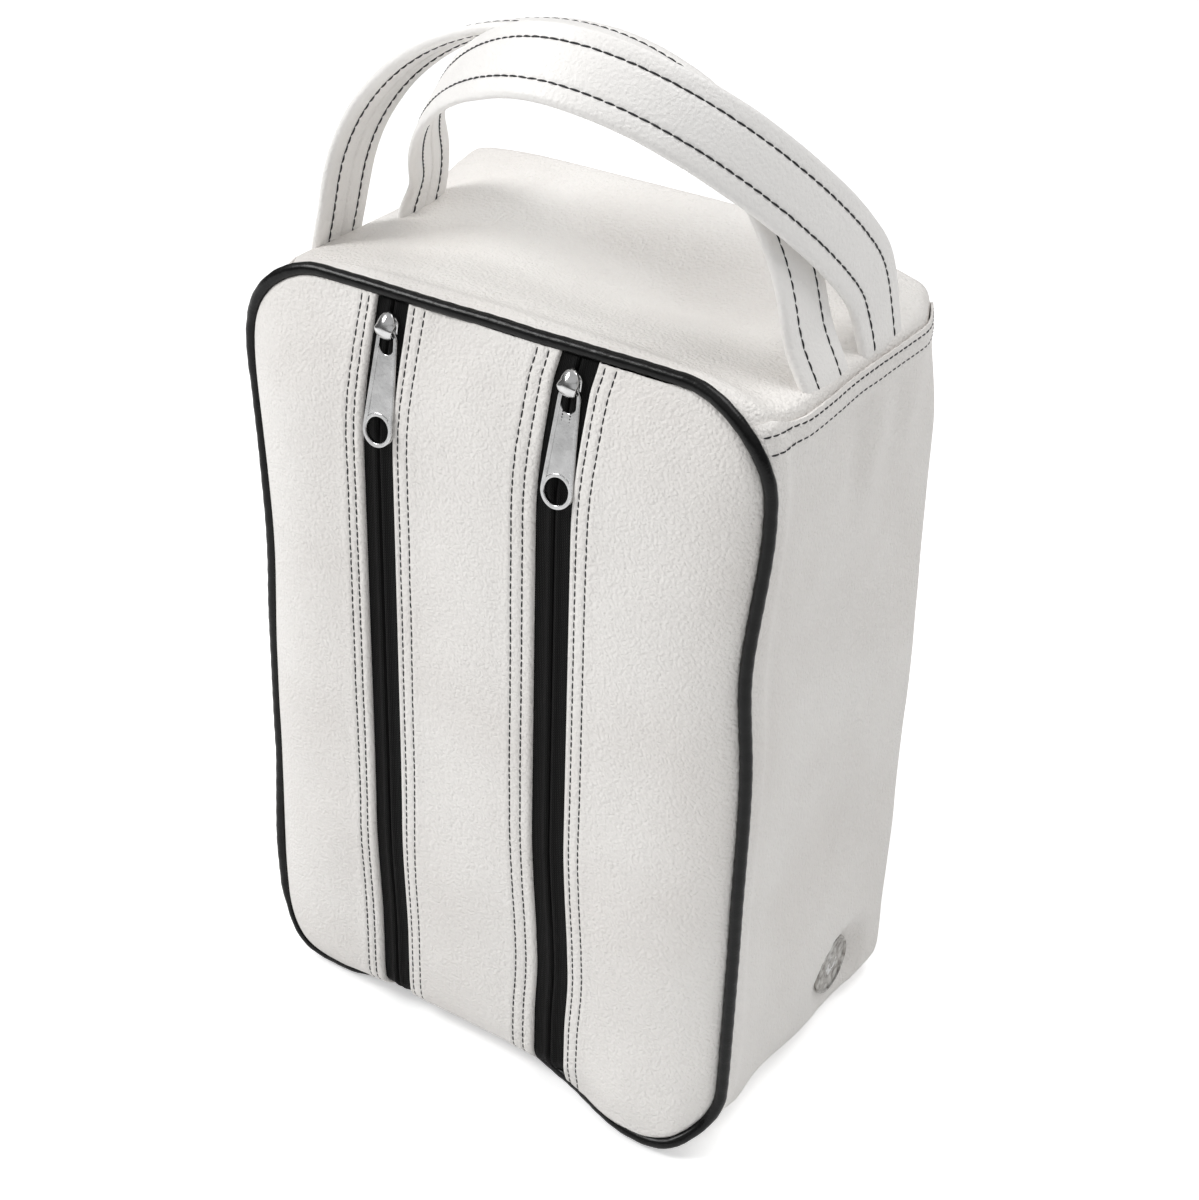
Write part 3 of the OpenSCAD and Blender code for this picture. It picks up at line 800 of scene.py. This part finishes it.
def piping_path(inset, count=440):
    """Centre line of the piping around the front's edge."""
    path = []
    for x, z in resample(front_outline(inset), count):
        wobble = 0.3 * MM * soft_noise(x, 5.0, z, 24 * MM, 1.7)
        path.append(Vector((x, FACE + 0.8 * PIPING_R - front_push(x, z) + wobble, z + wobble)))
    return path


def piping_radius(i):
    return PIPING_R * (1 + 0.03 * math.sin(i * 1.9))


piping = bar("piping", piping_path(PIPING_R * 0.15), piping_radius, 18)
finish_mesh(piping, PIPING, ["piping_cover", "piping_cord"])

# ---- Gusset: one loop of points per depth, from behind the piping (0) to the back (1) ----

DEPTHS = 72
# Lower edge of the raised hem, and the heights of its two stitch rows in millimetres
BAND_LOW = 322 * MM
SHOULDER_ROWS = (334.5, 328.5)
# Stations of the loop: (side, height) on the walls, (place, None) on the top and (place, 0) on the base
CORNER_MARKS = ((1, 40), (1, 338), (70, None), (-70, None), (-1, 338), (-1, 40), (-70, 0), (70, 0))
CORNER_STEPS = (78, 24, 56, 24, 78, 20, 30, 20)
LOOP = sum(CORNER_STEPS)
SEAM_RIGHT, SEAM_LEFT = CORNER_STEPS[0], sum(CORNER_STEPS[:4])
FIRST_LOW, LAST_LOW = sum(CORNER_STEPS[:6]), sum(CORNER_STEPS[:7])
MIDDLE = CORNER_STEPS[0] + CORNER_STEPS[1] + CORNER_STEPS[2] // 2


def top_height(x, v):
    """Height of the top panel: low at the strap roots, domed, hollow in the middle, high at the back."""
    u = x / HALF
    rear = smooth(0.6, 0.96, v)
    edge = SHOULDER + (1 + 11 * rear * smooth(0, -0.9, u)) * MM
    ridge = TOP + (1.0 + 6.5 * rear - 2.5 * rear * smooth(0.1, 0.8, u)) * MM
    power = mix(2.6, 7.0, rear) if u < 0 else mix(2.6, 3.2, rear)
    arch = mix(ridge, edge, min(abs(u), 1) ** power)
    hollow = 11 * MM * bump(x, 16 * MM, 54 * MM) * bump(v, 0.5, 0.23)
    dents = (1.8 * MM * bump(x, -66 * MM, 20 * MM) * bump(v, 0.36, 0.13)
             + 1.4 * MM * bump(x, 78 * MM, 15 * MM) * bump(v, 0.3, 0.2))
    return arch - hollow - dents


FOOT_STEPS, WALL_STEPS = 10, 60
TOP_STEPS, BASE_STEPS = 82, 32


def body_section(v):
    """Outline of the bag behind its front, as a loop like front_outline."""
    low = 0.8 * MM
    sides = {}
    for side in (1, -1):
        foot = (11 + 7 * bump(v, 0.27, 0.16)) * MM
        swell = 3.5 * smooth(0.5, 1, v) - 2.0 * bump(v, 0.25, 0.15) if side > 0 else -1.0
        wall = HALF + swell * MM
        rows = []
        for k in range(FOOT_STEPS):
            a = k * math.pi / 2 / (FOOT_STEPS - 1)
            rows.append((side * (wall - foot * (1 - math.sin(a))), low + foot * (1 - math.cos(a))))
        for k in range(1, WALL_STEPS):
            z = mix(low + foot, SHOULDER, k / (WALL_STEPS - 1))
            lean = smooth(90 * MM, 330 * MM, z)
            sag = 2.4 * MM * bump(z, 200 * MM, 75 * MM) * math.sin(math.pi * v)
            shrink = 9 * MM * smooth(0.78, 1.0, v) * smooth(285 * MM, 340 * MM, z) if side > 0 else 0
            rows.append((side * (mix(wall, HALF - 0.5 * MM, lean) - sag - shrink), z))
        sides[side] = rows
    x1, x0 = sides[1][-1][0], sides[-1][-1][0]
    top = [(x, top_height(x, v)) for x in np.linspace(x1, x0, TOP_STEPS)[1:-1]]
    base = [(x, low) for x in np.linspace(sides[-1][0][0], sides[1][0][0], BASE_STEPS)[1:-1]]
    return sides[1] + top + sides[-1][::-1] + base


def matched_loop(loop):
    """Resamples a loop so that its corners fall on the same stations at every depth."""
    pts = resample(loop, 4000)
    corners = []
    for x, z in CORNER_MARKS:
        if abs(x) == 1:
            miss = np.abs(pts[:, 1] - z * MM) + (pts[:, 0] * x < 0)
        else:
            miss = np.abs(pts[:, 0] - x * MM) + ((pts[:, 1] > 0.1) if z == 0 else (pts[:, 1] < 0.2))
        corners.append(int(np.argmin(miss)))
    parts = []
    for k, steps in enumerate(CORNER_STEPS):
        a, b = corners[k], corners[(k + 1) % len(corners)]
        part = pts[a:b + 1] if b > a else np.concatenate([pts[a:], pts[:b + 1]])
        parts.append(spaced(part, steps))
    return np.concatenate(parts)


def gusset_rows():
    """Loops of the gusset from front to back, with the ridge behind the piping and the rear tuck."""
    front = matched_loop(front_outline(0.4 * MM))
    centre = np.array([0.0, (LOW + TOP) / 2])
    rows = []
    for k in range(DEPTHS):
        v = 1 - (1 - k / (DEPTHS - 1)) ** 1.2
        section = matched_loop(body_section(v))
        for _ in range(3):
            section = 0.5 * section + 0.25 * (np.roll(section, 1, 0) + np.roll(section, -1, 0))
        loop = mix(front, section, smooth(0, 0.16, v))
        ridge = 1.6 * MM * bump(v, 0.05, 0.028) - 0.9 * MM * bump(v, 0.115, 0.03)
        tuck = 10 * MM * smooth(0.915, 1.0, v) ** 1.7
        outward = (loop - centre) / np.linalg.norm(loop - centre, axis=1)[:, None]
        rows.append((v, loop + outward * (ridge - tuck)))
    return rows


ROWS = gusset_rows()
BADGE_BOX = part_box("badge_cap")
BADGE_Y = (BADGE_BOX[0].y + BADGE_BOX[1].y) / 2
BADGE_Z = (BADGE_BOX[0].z + BADGE_BOX[1].z) / 2


def gusset_point(v, x, z, outward=0.0):
    """Places a point of a loop in space, with the soft folds of the leatherette."""
    front_edge = FACE + PIPING_R * 1.9 - front_push(x, z) * smooth(0.5, 0.0, v)
    y = mix(front_edge, BACK, v)
    side = smooth(0.78, 0.98, abs(x) / HALF)
    lift = smooth(TOP - 32 * MM, TOP - 10 * MM, z)
    fade = math.sin(math.pi * v) ** 0.5
    # Broad waves, small waves, the upright folds under the hem and the slanted hollow below them
    slow = 3.3 * soft_noise(x * 0.4, y, z, 62 * MM, 5.3)
    quick = 0.5 * soft_noise(x * 0.5, y, z, 20 * MM, 2.9)
    folds = 2.1 * math.sin(y / (5.5 * MM) + 2.4 * soft_noise(0, y, z, 34 * MM, 9.1))
    folds *= bump(z, 300 * MM, 22 * MM) * (bump(y, 12 * MM, 34 * MM) + 0.5 * bump(y, -60 * MM, 12 * MM))
    slant = 1.3 * bump(y + 0.55 * (z - 120 * MM), 10 * MM, 15 * MM) * bump(z, 110 * MM, 70 * MM)
    low = min(z / (40 * MM), 1)
    wave = ((slow + quick) * low + folds - slant) * fade * MM
    crease = 1.9 * MM * bump(0.8 * y + 0.35 * x, 12 * MM, 9 * MM) * bump(x, 15 * MM, 60 * MM) * fade
    nx = math.copysign(side, x)
    raised = lift * (1 - side) * (0.6 * wave - crease + outward)
    out = Vector((x + nx * (wave + outward), y, z + raised))
    if x > 0:
        # Flat seat under the badge
        near = smooth(26 * MM, 15 * MM, math.hypot(y - BADGE_Y, z - BADGE_Z))
        out.x = mix(out.x, BADGE_BOX[0].x + outward, near)
    return out


def skin(name, first, last, replaced, outward=0.0, shape=None):
    """The part of the gusset between two stations of its loop."""
    grid = []
    for v, loop in ROWS:
        row = []
        for i in range(first, last + 1):
            x, z = loop[i % LOOP]
            row.append(gusset_point(v, x, z, outward + (shape(v, z) if shape else 0)))
        grid.append(row)
    finish_mesh(grid_object(name, grid, SKIN, flip=True), WHITE, replaced)


def band(v, z):
    """Raised hem along the top of a side panel, sunk a little along its two stitch rows."""
    rise = 1.3 * MM * smooth(BAND_LOW - 1.5 * MM, BAND_LOW + 7 * MM, z)
    for row in SHOULDER_ROWS:
        rise -= 0.4 * MM * bump(z, row * MM, 1.0 * MM)
    return rise * smooth(0.0, 0.08, v) * smooth(1.0, 0.88, v)


skin("top_soft", SEAM_RIGHT - 4, SEAM_LEFT + 4, ["top_panel"], -0.8 * MM)
skin("side_right", LAST_LOW - LOOP, SEAM_RIGHT, ["side_panel_right"], 0.0, band)
skin("side_left", SEAM_LEFT, FIRST_LOW, ["side_panel_left"], 0.0, band)
skin("base_soft", FIRST_LOW, LAST_LOW, ["base_panel"])


def lining(name, first, last, rows, inward, replaced):
    """A thin cloth between two stations of the loop, inside the leatherette."""
    stations = range(first, last + 1)
    grid = [[gusset_point(v, *loop[i % LOOP], -inward) for i in stations] for v, loop in rows]
    finish_mesh(grid_object(name, grid, 0.6 * MM, flip=True), LINING, replaced)


def back_panel():
    """Back panel: a shallow pillow sewn inside the gusset's last loop."""
    v, loop = ROWS[-1]
    edge = [gusset_point(v, x, z) for x, z in loop]
    centre = Vector((0, BACK, (TOP + LOW) / 2))
    grid = []
    for k in [1, 0.995, 0.985, 0.97] + list(np.linspace(0.95, 0.02, 40)):
        row = []
        for p in edge:
            q = centre + (p - centre) * k
            wave = 1.5 * MM * soft_noise(q.x, 0, q.z, 75 * MM, 6.6)
            puff = 6.5 * MM * (1 - k ** 5) ** 0.8 + wave * (1 - k ** 6)
            seam = 1.6 * MM * bump(k, 1.0, 0.008)
            row.append(Vector((q.x, BACK - 0.5 * MM + puff - seam, q.z)))
        grid.append(row)
    obj = flip_outward(grid_object("back_soft", grid, SKIN, closed=True), len(edge))
    finish_mesh(obj, WHITE, ["back_panel"])


back_panel()
LINED, UNDER_STRAPS = ROWS[6:-2], ROWS[20:52]
lining("lining_left", MIDDLE + 1, FIRST_LOW, LINED, 4.5 * MM, ["left_lining"])
lining("lining_right", LAST_LOW - LOOP, MIDDLE - 1, LINED, 4.5 * MM, ["right_lining"])
lining("binding_front", 0, LOOP, ROWS[3:7], 2.6 * MM, ["front_seam_binding"])
lining("binding_back", 0, LOOP, ROWS[-6:-3], 2.6 * MM, ["back_seam_binding"])
for side_name, root in (("right", SEAM_RIGHT), ("left", SEAM_LEFT)):
    strip = "reinforcement_" + side_name
    lining(strip, root - 10, root + 4, UNDER_STRAPS, 2.4 * MM, ["strap_reinforcements"])


def shoulder_stitches():
    """Two rows of topstitching along the hem of each side panel."""
    rows = []
    for side in (1, -1):
        for height in (z * MM for z in SHOULDER_ROWS):
            row = []
            for v, loop in ROWS[1:-2]:
                wall = sorted((z, x) for x, z in loop if x * side > 0.85 * HALF and z > 250 * MM)
                x = np.interp(height, [z for z, _ in wall], [x for _, x in wall])
                point = gusset_point(v, x, height, band(v, height) + 0.1 * MM)
                row.append((point, Vector((side, 0, 0))))
            rows.append(row)
    replaced = ["shoulder_topstitching"]
    stitches("shoulder_stitches", rows, 3.6 * MM, 1.0, 0.38 * MM, replaced)


shoulder_stitches()

# ---- Badge ----


FIELD_HEIGHT, FIELD_RINGS = 1.2, 16
# Rolled rim of the badge: (share of the radius, height in millimetres)
BADGE_RIM = ((0.88, 1.0), (0.9, 1.35), (0.93, 1.8), (0.97, 1.8), (1.0, 1.3), (1.0, 0.2), (0.97, 0.0))
BADGE_SIDES = 72


def badge():
    """Round hammered badge with a rolled rim, low on the right side."""
    radius = (BADGE_BOX[1].z - BADGE_BOX[0].z) / 2
    field = [0.0, 0.06] + [0.06 + 0.79 * k / FIELD_RINGS for k in range(1, FIELD_RINGS + 1)]
    grid = []
    for r, h in [(share, FIELD_HEIGHT) for share in field] + list(BADGE_RIM):
        row = []
        for k in range(BADGE_SIDES):
            t = 2 * math.pi * k / BADGE_SIDES
            y, z = BADGE_Y + radius * r * math.cos(t), BADGE_Z + radius * r * math.sin(t)
            dent = 0.28 * soft_noise(0, y, z, 3.6 * MM, 12.5) + 0.2 * soft_noise(0, y, z, 1.9 * MM, 4.5)
            x = BADGE_BOX[0].x + (h + dent * smooth(0.88, 0.8, r)) * MM
            row.append((x, y, z))
        grid.append(row)
    finish_mesh(grid_object("badge", grid, 0.0, closed=True), BADGE, ["badge_cap"])


badge()

# ---- Straps ----

STITCH_AT = 8.0
# Arches in millimetres: centre between the feet, half reach, rise, sideways skew, how full each
# shoulder and the crown are, lean in degrees, and how far the right foot is shifted
STRAPS = {
    "front": dict(middle=-7.3, reach=101.5, rise=87.5, skew=1.5, left=1.0, right=1.06, power=0.97,
                  lean=-6, settle=6),
    "rear": dict(middle=5.2, reach=103.8, rise=125.5, skew=14.8, left=1.13, right=1.01, power=1.44,
                 lean=44, settle=-3),
}
ROOT_DEPTHS = (-24, -20, -16, -12, -8, -4)
ARCH_STEPS, STRAP_STEPS, SMOOTHING = 180, 150, 30


def strap_path(name):
    """Points of a strap's centre line from root to root, each with its width direction."""
    shape = STRAPS[name]
    foot = JOINTS[f"{name}_strap_swing"]["pos_m"]
    flat = []
    for k in range(ARCH_STEPS + 1):
        t = math.pi * k / ARCH_STEPS
        on_right = k < ARCH_STEPS / 2
        power = shape["right"] if on_right else shape["left"]
        spread = math.copysign(shape["reach"] * abs(math.cos(t)) ** power, math.cos(t))
        x = shape["middle"] + shape["skew"] * math.sin(t) + spread
        h = shape["rise"] * math.sin(t) ** shape["power"]
        flat.append((x + (shape["settle"] * smooth(50, 0, h) if on_right else 0), h))
    roots = []
    for side in (1, -1):
        foot_x = shape["middle"] + side * shape["reach"] + (shape["settle"] if side > 0 else 0)
        sewn_x = HALF / MM - 3.5 if side > 0 else foot_x - 6
        roots.append([(mix(foot_x, sewn_x, smooth(0, 18, -h)), h) for h in ROOT_DEPTHS])
    flat = spaced(np.array(roots[0] + flat + roots[1][::-1]), STRAP_STEPS, keep_last=True)
    for _ in range(SMOOTHING):
        flat[1:-1] = 0.5 * flat[1:-1] + 0.25 * (flat[:-2] + flat[2:])
    # The strap stands upright at its sewn foot and leans over above it
    lean = math.radians(shape["lean"])
    steps = np.linspace(-30, 140, 341)
    stride = 0.5
    angles = [lean * smooth(-14, 24, h) for h in steps]
    ys = np.cumsum([stride * -math.sin(a) for a in angles])
    zs = np.cumsum([stride * math.cos(a) for a in angles])
    zero = int(np.argmin(np.abs(steps)))
    path = []
    for x, h in flat:
        y = np.interp(h, steps, ys - ys[zero]) * MM + foot[1]
        z = np.interp(h, steps, zs - zs[zero]) * MM + foot[2]
        angle = np.interp(h, steps, angles)
        path.append((Vector((x * MM, y, z)), Vector((0, math.cos(angle), math.sin(angle)))))
    return path


def strap_frames(name):
    """Centre, width direction and outward direction along a strap."""
    path = strap_path(name)
    frames = []
    for i, (centre, width) in enumerate(path):
        along = (path[min(i + 1, len(path) - 1)][0] - path[max(i - 1, 0)][0]).normalized()
        width = (width - along * width.dot(along)).normalized()
        out = along.cross(width).normalized() * -1
        twist = 0.05 * math.sin(i / 19.0)
        frames.append((centre, width * math.cos(twist) + out * math.sin(twist),
                       out * math.cos(twist) - width * math.sin(twist)))
    return frames


def strap_section():
    """Half-thickness of the outer and inner face across the width: soft edges, sunk stitch rows."""
    near_rows = [row + d for row in (0, STITCH_AT) for d in (-1.4, -0.7, 0, 0.7, 1.4)]
    right = sorted(w for w in near_rows + [3, 5, 11, 13, 14, 14.8, 15.3, 15.5] if w > 0)
    outer, inner = [], []
    for w in [-w for w in right[::-1]] + [0] + right:
        edge = math.sqrt(max(1 - (max(abs(w) - 13.3, 0) / 2.2) ** 2, 0))
        sunk = 0.35 * sum(bump(w, row, 0.8) for row in (-STITCH_AT, STITCH_AT))
        outer.append((w * MM, (2.1 + 0.25 * math.cos(w / 5) - sunk) * edge * MM))
        inner.append((w * MM, -(2.0 - sunk - 0.8 * bump(w, 0, 0.55)) * edge * MM))
    return outer + inner[::-1][1:-1]


def strap(name):
    """A hand strap and its stitches, bending at the sewn feet."""
    frames = strap_frames(name)
    section = strap_section()
    sections = []
    for i, (centre, width, out) in enumerate(frames):
        ripple = 1 + 0.05 * soft_noise(i * 0.13, 0, 0, 1, 3.3)
        loop = []
        for w, t in section:
            pucker = 0.12 * MM * soft_noise(i * 0.55, w / MM * 0.4, 0, 1, 7.7)
            loop.append(centre + width * w * ripple + out * (t + math.copysign(pucker, t)))
        sections.append(loop)
    obj = flip_outward(loft(f"{name}_strap_band", sections))
    replaced = [f"{name}_strap_{part}" for part in ("outer_face", "inner_face", "filler", "feet")]
    finish_mesh(obj, STRAP_WHITE, replaced, None)
    rows = []
    for row in (-STITCH_AT * MM, STITCH_AT * MM):
        for sign in (1, -1):
            rows.append([(c + w * row + o * sign * 1.85 * MM, o * sign) for c, w, o in frames[3:-3]])
    replaced = [f"{name}_strap_topstitching"]
    seams = stitches(f"{name}_strap_stitches", rows, 4.2 * MM, 1.04, 0.4 * MM, replaced, None)
    for piece in (obj, seams):
        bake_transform(piece)


for strap_name in STRAPS:
    strap(strap_name)

# ---- CAD pieces that stay: hidden inside the bag, with their own materials ----

for node, (mat, _) in (("centre_divider", LINING), ("base_board", BOARD), ("badge_washer", CHROME)):
    cad = frame["nodes"][node]
    cad.data.materials.clear()
    cad.data.materials.append(mat)

# ---- Camera, light and floor ----


def camera():
    """Looks down on the front right of the bag."""
    azimuth, elevation, roll = math.radians(32.2), math.radians(31.75), math.radians(1.83)
    target, distance = Vector((-69.8, 113.1, 111.9)) * MM, 1046 * MM
    back = Vector((math.sin(azimuth) * math.cos(elevation),
                   -math.cos(azimuth) * math.cos(elevation), math.sin(elevation)))
    right = Vector((math.cos(azimuth), math.sin(azimuth), 0))
    up = back.cross(right)
    turned_right = math.cos(roll) * right + math.sin(roll) * up
    turned_up = -math.sin(roll) * right + math.cos(roll) * up
    data = bpy.data.cameras.new("camera")
    data.sensor_width = 36
    data.lens = 62.7
    data.clip_start, data.clip_end = 0.05, 20
    obj = link_object("camera", data)
    rotation = Matrix((turned_right, turned_up, back)).transposed().to_4x4()
    obj.matrix_world = Matrix.Translation(target + back * distance) @ rotation
    bpy.context.scene.camera = obj


def area_light(name, place, target, size, power):
    """A rectangular light at a place, turned to a target."""
    data = bpy.data.lights.new(name, "AREA")
    data.shape = "RECTANGLE"
    data.size, data.size_y = size
    data.energy = power
    obj = link_object(name, data)
    obj.location = place
    obj.rotation_euler = (Vector(target) - Vector(place)).to_track_quat("-Z", "Y").to_euler()


FLOOR_HALF, FLOOR_GLOW = 6.0, 0.45
ROOM_LIGHT, ROOM_SEEN = 0.48, 0.6


def floor():
    """White floor that only the camera sees glow, so that it doesn't light the bag from below."""
    mat, tree, shader, coords = material("floor_white", (0.93, 0.93, 0.93), 0.9)
    tone = add_ramp(tree, add_noise(tree, coords, 3), [(0.2, 0.92), (0.8, 0.94)])
    tree.links.new(tone, shader.inputs["Base Color"])
    tree.links.new(tone, shader.inputs["Emission Color"])
    path = tree.nodes.new("ShaderNodeLightPath")
    lift = add_math(tree, "MULTIPLY", path.outputs["Is Camera Ray"], FLOOR_GLOW)
    tree.links.new(lift, shader.inputs["Emission Strength"])
    corners = [(x * FLOOR_HALF, y * FLOOR_HALF, 0) for x, y in ((-1, -1), (1, -1), (1, 1), (-1, 1))]
    obj = new_object("floor", corners, [(0, 1, 2, 3)])
    obj.data.materials.append(mat)


def world():
    """Even white room; glossy surfaces see it as a darker room with a bright ceiling."""
    scene_world = bpy.data.worlds.new("white_room")
    scene_world.use_nodes = True
    background = scene_world.node_tree.nodes["Background"]
    tree = scene_world.node_tree
    coords = tree.nodes.new("ShaderNodeTexCoord").outputs["Generated"]
    height = tree.nodes.new("ShaderNodeSeparateXYZ")
    tree.links.new(coords, height.inputs[0])
    cards = add_ramp(tree, height.outputs["Z"], [(0.0, 0.5), (0.06, 0.12), (0.3, 0.3), (0.5, 1)])
    path = tree.nodes.new("ShaderNodeLightPath")
    choice = tree.nodes.new("ShaderNodeMix")
    choice.data_type = "RGBA"
    tree.links.new(path.outputs["Is Glossy Ray"], choice.inputs["Factor"])
    choice.inputs["A"].default_value = (1, 1, 1, 1)
    tree.links.new(cards, choice.inputs["B"])
    tree.links.new(choice.outputs["Result"], background.inputs["Color"])
    seen = add_math(tree, "MULTIPLY_ADD", path.outputs["Is Camera Ray"], ROOM_SEEN)
    seen.node.inputs[2].default_value = ROOM_LIGHT
    tree.links.new(seen, background.inputs["Strength"])
    bpy.context.scene.world = scene_world


camera()
floor()
world()
BAG_MIDDLE = (0, 0, 0.2)
area_light("key", (-1.5, -1.1, 1.9), BAG_MIDDLE, (0.9, 0.9), 33)
area_light("top", (0.5, 0.6, 2.1), BAG_MIDDLE, (1.2, 1.2), 16)
bpy.context.scene.view_settings.view_transform = "Standard"
